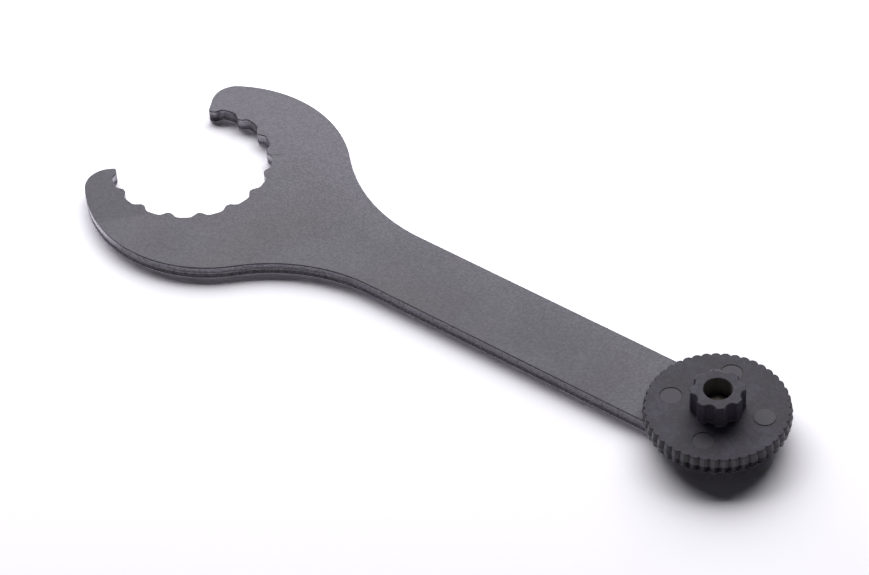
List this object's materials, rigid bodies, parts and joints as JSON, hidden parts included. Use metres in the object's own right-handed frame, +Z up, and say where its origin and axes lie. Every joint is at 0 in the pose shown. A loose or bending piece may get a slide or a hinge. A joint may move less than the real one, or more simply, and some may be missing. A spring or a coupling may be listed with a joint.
{
  "type": "bottom bracket spanner",
  "caption": "Flat steel bottom bracket spanner with an open toothed jaw, a plain handle, and a free-turning black wheel with a fluted key for crank caps riveted on its end.",
  "frame": {"origin": "centre of the toothed jaw, on the underside of the plate", "axes": "+X from the jaw along the handle to the wheel, +Z up through the plate to the side that the wheel is on, +Y completes the frame"},
  "size_m": [0.212, 0.0734, 0.0151],
  "materials": {
    "plate_finish": "satin",
    "wheel_plastic": "satin",
    "rivet_steel": "satin"
  },
  "bodies": {
    "spanner": {"spanner_plate": "plate_finish", "rivet": "rivet_steel"},
    "cap_wheel": {"cap_wheel": "wheel_plastic"}
  },
  "joints": [
    {"name": "wheel_spin", "type": "hinge", "parent": "spanner", "child": "cap_wheel", "pos_m": [0.1732, 0, 0.0041], "axis": [0, 0, 1], "continuous": true}
  ]
}
